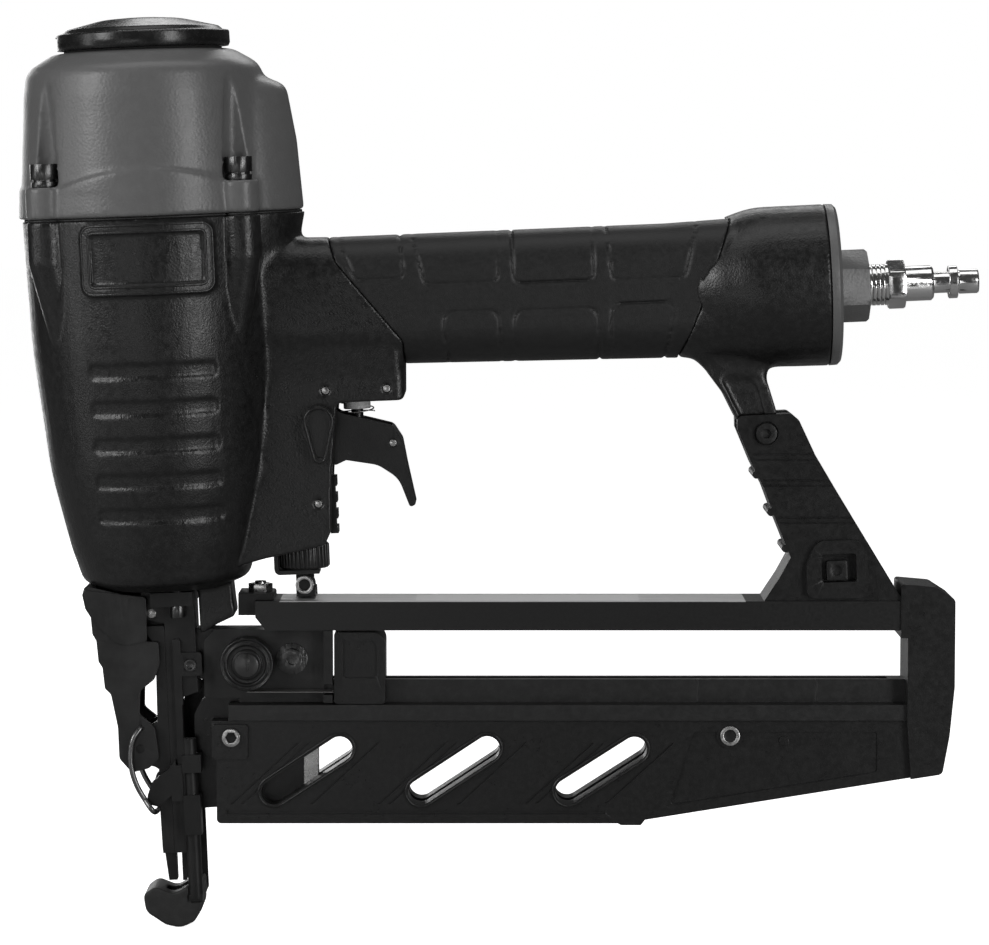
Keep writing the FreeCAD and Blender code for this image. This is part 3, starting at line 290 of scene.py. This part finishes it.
def soften(obj, passes, group=""):
    """Adds a modifier that rounds the edges, everywhere or where a vertex group says."""
    modifier = obj.modifiers.new("soften", "SMOOTH")
    modifier.iterations = passes
    modifier.factor = 0.5
    modifier.vertex_group = group


def baked(obj):
    """Mesh of an object with its modifiers applied; the object is taken away."""
    graph = bpy.context.evaluated_depsgraph_get()
    mesh = bpy.data.meshes.new_from_object(obj.evaluated_get(graph))
    bpy.data.objects.remove(obj)
    return mesh


def melt(mesh, places, passes):
    """Rounds a skin deeply near (x, y, z, radius) places, which count on both sides of the tool."""
    obj = bpy.data.objects.new("melt", mesh)
    collection.objects.link(obj)
    group = obj.vertex_groups.new(name="near")
    for vertex in mesh.vertices:
        here = Vector((vertex.co.x, abs(vertex.co.y), vertex.co.z))
        near = 0.0
        for x, y, z, reach in places:
            away = (here - Vector((x, y, z)) * MM).length / (reach * MM)
            near = max(near, min(1.0, 2.0 - 2.0 * away))
        if near > 0:
            group.add([vertex.index], near, "REPLACE")
    soften(obj, passes, "near")
    return baked(obj)


def moulded(name, node, voxel, passes, body, look, places=(), deep_passes=0):
    """The CAD solid with its edges melted to soft casting radii, as one skin."""
    rough = bpy.data.objects.new(name + "_raw", nodes[node].data.copy())
    collection.objects.link(rough)
    weld = rough.modifiers.new("weld", "WELD")
    weld.merge_threshold = SKIN_WELD_GAP * MM
    skin = rough.modifiers.new("skin", "REMESH")
    skin.mode = "VOXEL"
    skin.voxel_size = voxel * MM
    soften(rough, passes)
    mesh = baked(rough)
    if places:
        mesh = melt(mesh, places, deep_passes)
    mesh.name = name
    smooth_shade(mesh)
    obj = bpy.data.objects.new(name, mesh)
    collection.objects.link(obj)
    paint(obj, look)
    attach(obj, body)
    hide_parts(node)


def tube(path, radius, sides):
    """Points and faces of a round tube with closed ends along a path."""
    points, faces = [], []
    last = len(path) - 1
    normal = None
    for i, here in enumerate(path):
        ahead = path[min(i + 1, last)] - path[max(i - 1, 0)]
        ahead.normalize()
        if normal is None:
            normal = ahead.orthogonal().normalized()
        normal = (normal - ahead * normal.dot(ahead)).normalized()
        side = ahead.cross(normal)
        for k in range(sides):
            angle = 2 * math.pi * k / sides
            points.append(here + (normal * math.cos(angle) + side * math.sin(angle)) * radius)
    for i in range(last):
        for k in range(sides):
            a, b = i * sides + k, i * sides + (k + 1) % sides
            faces.append((a, b, b + sides, a + sides))
    faces.append(tuple(reversed(range(sides))))
    faces.append(tuple(range(last * sides, (last + 1) * sides)))
    return points, faces


def coil_path(x, low, high, radius, top_radius, turns, flat=0.75, steps=40):
    """Spring centre line whose end turns lie flat; `steps` points make a turn."""
    count = int(turns * steps)
    path = []
    for i in range(count + 1):
        t = i / count
        turn = t * turns
        rise = min(max((turn - flat) / (turns - 2 * flat), 0.0), 1.0)
        r = radius + (top_radius - radius) * t
        angle = 2 * math.pi * turn
        path.append(Vector((x + r * math.cos(angle), r * math.sin(angle), low + (high - low) * rise)))
    return path


def smooth_path(corners, steps):
    """Catmull-Rom curve through the corners."""
    path = []
    last = len(corners) - 1
    for i in range(last):
        before, a = corners[max(i - 1, 0)], corners[i]
        b, after = corners[i + 1], corners[min(i + 2, last)]
        for k in range(steps):
            t = k / steps
            path.append(0.5 * ((2 * a) + (b - before) * t + (2 * before - 5 * a + 4 * b - after) * t ** 2
                               + (3 * a - 3 * b + after - before) * t ** 3))
    path.append(corners[-1])
    return path


# ---------------------------------------------------------------- castings and mouldings
# Places where a casting flows into its next shape: (x, y, z, radius)
NECK = ((44, 16, 172, 12), (44, 18, 190, 14), (44, 16, 210, 12), (42, 0, 214, 12),
        (40, 14, 150, 9), (38, 14, 135, 8), (36, 13, 120, 7),
        (180, 10, 170, 9), (190, 10, 168, 9), (200, 8, 166, 8), (178, 0, 168, 9), (203, 0, 166, 8))
SHOULDER = ((38, 15, 260, 12), (38, 18, 246, 10), (37, 0, 266, 12), (37, 8, 265, 12))

# name, CAD node, voxel size, smoothing passes, body, look
moulded("body_casting", "body_housing", 0.62, 4, "body", "casting_black", NECK, deep_passes=90)
moulded("cap_casting", "cylinder_cap", 0.75, 7, "body", "casting_grey", SHOULDER, deep_passes=50)
moulded("grip_rubber", "handle_grip", 0.5, 6, "body", "rubber_grip")
moulded("foot_rubber", "no_mar_foot", 0.45, 9, "safety_contact", "rubber_seal")
moulded("bumper_rubber", "bumper", 0.6, 6, "body", "rubber_seal")
moulded("seal_rubber", "fixed_seals", 0.3, 2, "body", "rubber_seal")
moulded("felt_washer", "deflector_washer", 0.3, 2, "body", "felt")
moulded("piston_ring_rubber", "piston_o_ring", 0.35, 5, "piston", "rubber_seal")
moulded("valve_ring_rubber", "head_valve_o_ring", 0.25, 4, "head_valve", "rubber_seal")


# ---------------------------------------------------------------- springs and wire
def spring(name, node, x, low, high, radius, wire, turns, top_radius=None):
    """Coil between two heights, carried by the body in place of a CAD node."""
    path = coil_path(x * MM, (low + wire) * MM, (high - wire) * MM, radius * MM,
                     (top_radius or radius) * MM, turns)
    obj = mesh_piece(name, *tube(path, wire * MM, 10), "body", "spring_steel")
    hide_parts(node)
    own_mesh(obj)


spring("head_valve_coil", "head_valve_spring", x=0, low=239.05, high=247.95,
       radius=23.6, wire=0.9, turns=2.6)
spring("safety_coil", "safety_spring", x=46, low=113.25, high=123.45,
       radius=4.6, wire=0.4, turns=5.5)
spring("trigger_coil", "trigger_spring", x=65.6, low=154.2, high=158.35,
       radius=5.7, wire=0.22, turns=2.4, top_radius=5.2)


def latch_wire():
    """Bent wire: an end, a leg, the bar across, and then a leg and an end on the far side."""
    x, z = WIRE_END
    near = [Vector((x, -WIRE_TIP_HALF, z)), Vector((x, -WIRE_BEND_HALF, z))]
    near += [Vector((x, -WIRE_LEG_HALF, z)) for x, z in WIRE_LEG]
    far = [Vector((p.x, -p.y, p.z)) for p in reversed(near)]
    path = smooth_path([p * MM for p in near + far], 8)
    wire = mesh_piece("latch_wire_bent", *tube(path, WIRE_RADIUS * MM, 14), "latch_wire", "wire_zinc")
    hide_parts("latch_wire")


latch_wire()


def feed_band():
    """Thin strip from the drum to the pusher, bowed a little across its width."""
    steps, ribs = 24, 6
    points = []
    for i in range(steps + 1):
        along = BAND_FRONT + (BAND_REAR - BAND_FRONT) * i / steps
        for layer in (0.0, BAND_THICKNESS):
            for k in range(ribs + 1):
                part = k / ribs
                across = BAND_NEAR + (BAND_FAR - BAND_NEAR) * part
                height = BAND_BOTTOM + layer + BAND_BOW * math.sin(math.pi * part)
                points.append(lean @ Vector((along, across, height)) * MM)
    ring = 2 * (ribs + 1)
    loop = list(range(ribs + 1)) + list(range(ring - 1, ribs, -1))
    faces = []
    for i in range(steps):
        for k, a in enumerate(loop):
            b = loop[(k + 1) % ring]
            faces.append((i * ring + a, i * ring + b, (i + 1) * ring + b, (i + 1) * ring + a))
    faces.append(tuple(reversed(loop)))
    faces.append(tuple(steps * ring + a for a in loop))
    band = mesh_piece("feed_band", points, faces, None, "spring_steel")
    smooth_shade(band.data, False)
    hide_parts("feed_spring")
    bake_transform(band)


feed_band()


# ---------------------------------------------------------------- raised lips
def barrel_skin(side, x, z):
    """Point on the barrel's near (-1) or far (+1) side, and the direction outward there."""
    point = Vector((x, side * math.sqrt(BARREL_RADIUS ** 2 - x * x), z))
    return point * MM, Vector((point.x, point.y, 0)).normalized()


def cover_skin(side, x, z):
    """The same on the leaning covers of the magazine."""
    return lean @ Vector((x, side * COVER_HALF, z)) * MM, Vector((0, side, 0))


def selector_skin(side, x, z):
    """The same on the face of the selector lever."""
    return Vector((x, side * SELECTOR_HALF, z)) * MM, Vector((0, side, 0))


def welt(name, path, radius, skin, side, body, look):
    """Thin round welt along a closed path of (x, z) points laid on a skin."""
    pitch, sides = 1.5, 8
    rail = []
    for i, (xa, za) in enumerate(path):
        xb, zb = path[(i + 1) % len(path)]
        steps = max(1, int(math.hypot(xb - xa, zb - za) / pitch))
        for k in range(steps):
            rail.append(skin(side, xa + (xb - xa) * k / steps, za + (zb - za) * k / steps))
    points, faces = [], []
    count = len(rail)
    for i, (here, out) in enumerate(rail):
        ahead = (rail[(i + 1) % count][0] - rail[i - 1][0]).normalized()
        across = ahead.cross(out).normalized()
        for k in range(sides):
            angle = 2 * math.pi * k / sides
            points.append(here + (out * math.cos(angle) + across * math.sin(angle)) * radius * MM)
        start, after = i * sides, (i + 1) % count * sides
        for k in range(sides):
            beside = (k + 1) % sides
            faces.append((start + k, start + beside, after + beside, after + k))
    mesh_piece(name, points, faces, body, look)


def arc(x, z, radius, start, end, steps=8):
    """Points of an arc, from one angle to another in degrees."""
    turns = [math.radians(start + (end - start) * k / steps) for k in range(steps + 1)]
    return [(x + radius * math.cos(t), z + radius * math.sin(t)) for t in turns]


def name_frame(inset):
    """Rounded rectangle of the blank name frame, drawn in from its edge."""
    front, rear = -19.8 + inset, 23.0 - inset
    low, high = 197.0 + inset, 220.0 - inset
    r = 3.6 - 0.7 * inset
    return (arc(rear - r, high - r, r, 0, 90) + arc(front + r, high - r, r, 90, 180)
            + arc(front + r, low + r, r, 180, 270) + arc(rear - r, low + r, r, 270, 360))


def hull(xa, za, ra, xb, zb, rb):
    """Outline round two circles."""
    toward = math.degrees(math.atan2(zb - za, xb - xa))
    open_by = math.degrees(math.acos((ra - rb) / math.hypot(xb - xa, zb - za)))
    return (arc(xa, za, ra, toward + open_by, toward + 360 - open_by, 14)
            + arc(xb, zb, rb, toward - open_by, toward + open_by, 10))


# Upper and lower end of each slanted slot in the magazine's covers
SLOTS = (((53.7, 45.4), (31.8, 31.0)), ((102.6, 45.5), (80.6, 31.0)), ((151.4, 45.3), (129.4, 31.2)))
SLOT_LIP_RADIUS = 5.0
# x, z and radius of the lip's two ends on the selector lever
SELECTOR_HEAD = (53.4, 152.6, 4.6)
SELECTOR_TIP = (53.3, 141.2, 1.9)

for label, side in (("near", -1), ("far", 1)):
    for ring, inset in (("outer", 0.5), ("inner", 2.7)):
        welt(f"frame_lip_{ring}_{label}", name_frame(inset), 0.62, barrel_skin, side,
             "body", "casting_black")
    for number, (upper, lower) in enumerate(SLOTS):
        outline = hull(*upper, SLOT_LIP_RADIUS, *lower, SLOT_LIP_RADIUS)
        welt(f"slot_lip_{number}_{label}", outline, 0.42, cover_skin, side,
             "body", "plastic_black")
welt("selector_lip", hull(*SELECTOR_HEAD, *SELECTOR_TIP), 0.5, selector_skin, -1,
     "selector", "plastic_black")

# ---------------------------------------------------------------- the other CAD nodes keep their solids
LOOKS = {
    "steel_bright": "fixed_pins arm_rivet cover_screws driver_blade trip_lever_pin pusher_plate "
                    "magazine_bolts",
    "chrome": "air_plug",
    "screw_black": "cap_screws front_screws",
    "steel_black": "lever_pin nosepiece nose_door contact_guide contact_arm beam_bracket "
                   "trip_lever depth_screw magazine_rail",
    "steel_sheet": "upper_safety_arm front_plate latch_lever front_bracket",
    "casting_grey": "end_cap",
    "plastic_black": "magazine_side_near magazine_side_far magazine_end_cap spring_drum pusher_handle "
                     "pusher_carriage guide_block valve_body valve_stem depth_wheel trigger "
                     "selector_lever strut",
    "plastic_gloss": "exhaust_deflector",
    "plastic_white": "valve_bushing",
    "cylinder_aluminium": "cylinder_sleeve piston head_valve_piston",
    "rail_aluminium": "magazine_track",
    "beam": "magazine_beam",
}
look_of = {node: look for look, names in LOOKS.items() for node in names.split()}

# Mostly round pieces; the others are shaded flat
TURNED = ("spring_drum front_screws cap_screws air_plug depth_wheel exhaust_deflector end_cap cover_screws "
          "magazine_bolts lever_pin fixed_pins arm_rivet valve_bushing trip_lever_pin").split()

# Tests, given a face's centre, for the faces of bright screws that are painted black: black steel on the
# magazine bolts, painted shade in the rivet's eye and in the screws' sockets
BLACK_OR_PAINTED_SHADE = {
    # all but the front bolt's nut and what lies below it
    "magazine_bolts": lambda p: p.x > 60 or p.z > 98.75,
    # the eye in the rivet's head, darkened as painted shade
    "arm_rivet": lambda p: math.hypot(p.x - 45.9, p.z - 97.9) < 1.97,
    # all that lies behind the heads' faces: sockets and shanks; the dark in the sockets and recess floors
    # is painted shade
    "cover_screws": lambda p: abs(p.y) < (12.5 if p.x < 60 else 10.6),
}


def blacken_or_paint_shade(obj, inside):
    # black steel on the chosen faces; in the screws' sockets and the rivet's eye it is painted shade
    obj.data.materials.append(MATERIALS["steel_black"])
    for polygon in obj.data.polygons:
        if inside(polygon.center / MM):
            polygon.material_index = 1


def finish_edges(obj, turned):
    """Fine bevel, with shading that keeps flat faces flat or round faces round."""
    smooth_shade(obj.data)
    weld = obj.modifiers.new("weld", "WELD")
    weld.merge_threshold = WELD_GAP * MM
    edge = obj.modifiers.new("edge", "BEVEL")
    edge.width = EDGE_WIDTH * MM
    edge.segments = 2
    edge.limit_method = "ANGLE"
    edge.angle_limit = EDGE_ANGLE
    edge.use_clamp_overlap = True
    if turned:
        edge.harden_normals = True
        return
    shade = obj.modifiers.new("shade", "WEIGHTED_NORMAL")
    shade.mode = "FACE_AREA"
    shade.weight = FLAT_WEIGHT


for name, obj in nodes.items():
    if obj.hide_render:
        continue
    paint(obj, look_of[name])
    if name in BLACK_OR_PAINTED_SHADE:
        blacken_or_paint_shade(obj, BLACK_OR_PAINTED_SHADE[name])
    finish_edges(obj, name in TURNED)

# ---------------------------------------------------------------- floor, light and camera
# From here on, places and sizes are in metres.
FLOOR_Z = -0.0149
FLOOR_REACH = 8.0
TARGET = Vector((0.1103, 0.0, 0.1323))
CAMERA_PLACE = Vector((0.1146, -1.340, 0.2369))
LENS = 147.2                    # focal length in mm, for a sensor 36 mm wide
FLOOR_GLOW = 0.95
AMBIENT = 0.05

# name, place, width, height, watts; every light aims at the target
LIGHTS = (
    ("key", (-0.78, -0.70, 0.62), 0.34, 0.60, 5.0),
    ("top", (0.12, -0.05, 1.10), 1.1, 0.5, 2.3),
    ("left_strip", (-0.75, -0.25, 0.35), 0.12, 0.9, 1.1),
    ("right_fill", (0.80, -0.85, 0.34), 0.30, 0.75, 4.6),
    ("low_fill", (-0.25, -1.10, 0.02), 0.5, 0.25, 0.7),
    ("back_rim", (0.3, 1.1, 0.9), 0.9, 0.4, 2.6),
    ("back_fill", (-0.45, 1.25, 0.32), 0.5, 0.6, 3.0),
)


def floor_material():
    """Pale matt floor that glows a little towards the camera, as a light table does."""
    n = Nodes("floor_pale")
    tone = n.noise(0.25)
    seen = n.add("ShaderNodeLightPath").outputs["Is Camera Ray"]
    pale = n.mix(n.spread(tone, 0.0, 1.0), rgba(0.86), rgba(0.9))
    return n.set(Base_Color=n.mix(seen, rgba(0.30), pale), Roughness=0.6, Emission_Color=rgba(1.0),
                 Emission_Strength=n.reckon("MULTIPLY", seen, FLOOR_GLOW))


def add_floor():
    """Large floor that leans with the magazine, as the tool stands on it."""
    signs = ((-1, -1), (1, -1), (1, 1), (-1, 1))
    corners = [lean @ Vector((a * FLOOR_REACH, b * FLOOR_REACH, FLOOR_Z)) for a, b in signs]
    mesh = bpy.data.meshes.new("floor")
    mesh.from_pydata([tuple(p) for p in corners], [], [(0, 1, 2, 3)])
    mesh.materials.append(floor_material())
    floor = bpy.data.objects.new("floor", mesh)
    collection.objects.link(floor)


def add_light(name, place, width, height, power):
    light = bpy.data.lights.new(name, "AREA")
    light.shape = "RECTANGLE"
    light.size, light.size_y = width, height
    light.energy = power
    obj = bpy.data.objects.new(name, light)
    collection.objects.link(obj)
    obj.location = place
    obj.rotation_mode = "QUATERNION"
    obj.rotation_quaternion = (TARGET - Vector(place)).to_track_quat("-Z", "Y")


def light_world():
    """Dim white surroundings that the camera sees as plain white."""
    world = bpy.data.worlds.new("studio")
    scene.world = world
    world.use_nodes = True
    tree = world.node_tree
    dim = tree.nodes["Background"]
    pale = tree.nodes.new("ShaderNodeBackground")
    for shade in (dim, pale):
        shade.inputs["Color"].default_value = (1, 1, 1, 1)
    dim.inputs["Strength"].default_value = AMBIENT
    choose = tree.nodes.new("ShaderNodeMixShader")
    looking = tree.nodes.new("ShaderNodeLightPath")
    tree.links.new(looking.outputs["Is Camera Ray"], choose.inputs[0])
    tree.links.new(dim.outputs[0], choose.inputs[1])
    tree.links.new(pale.outputs[0], choose.inputs[2])
    tree.links.new(choose.outputs[0], tree.nodes["World Output"].inputs["Surface"])


def add_camera():
    """Camera that looks at the target, rolled by the lean so that the magazine lies level."""
    data = bpy.data.cameras.new("camera")
    data.lens = LENS
    data.sensor_width = 36.0
    camera = bpy.data.objects.new("camera", data)
    collection.objects.link(camera)
    camera.location = CAMERA_PLACE
    back = (CAMERA_PLACE - TARGET).normalized()
    level = Vector((math.cos(TILT), 0, -math.sin(TILT)))
    up = back.cross(level).normalized()
    right = up.cross(back)
    camera.rotation_mode = "QUATERNION"
    camera.rotation_quaternion = Matrix((right, up, back)).transposed().to_quaternion()
    scene.camera = camera


add_floor()
for settings in LIGHTS:
    add_light(*settings)
light_world()
scene.view_settings.view_transform = "Standard"
add_camera()
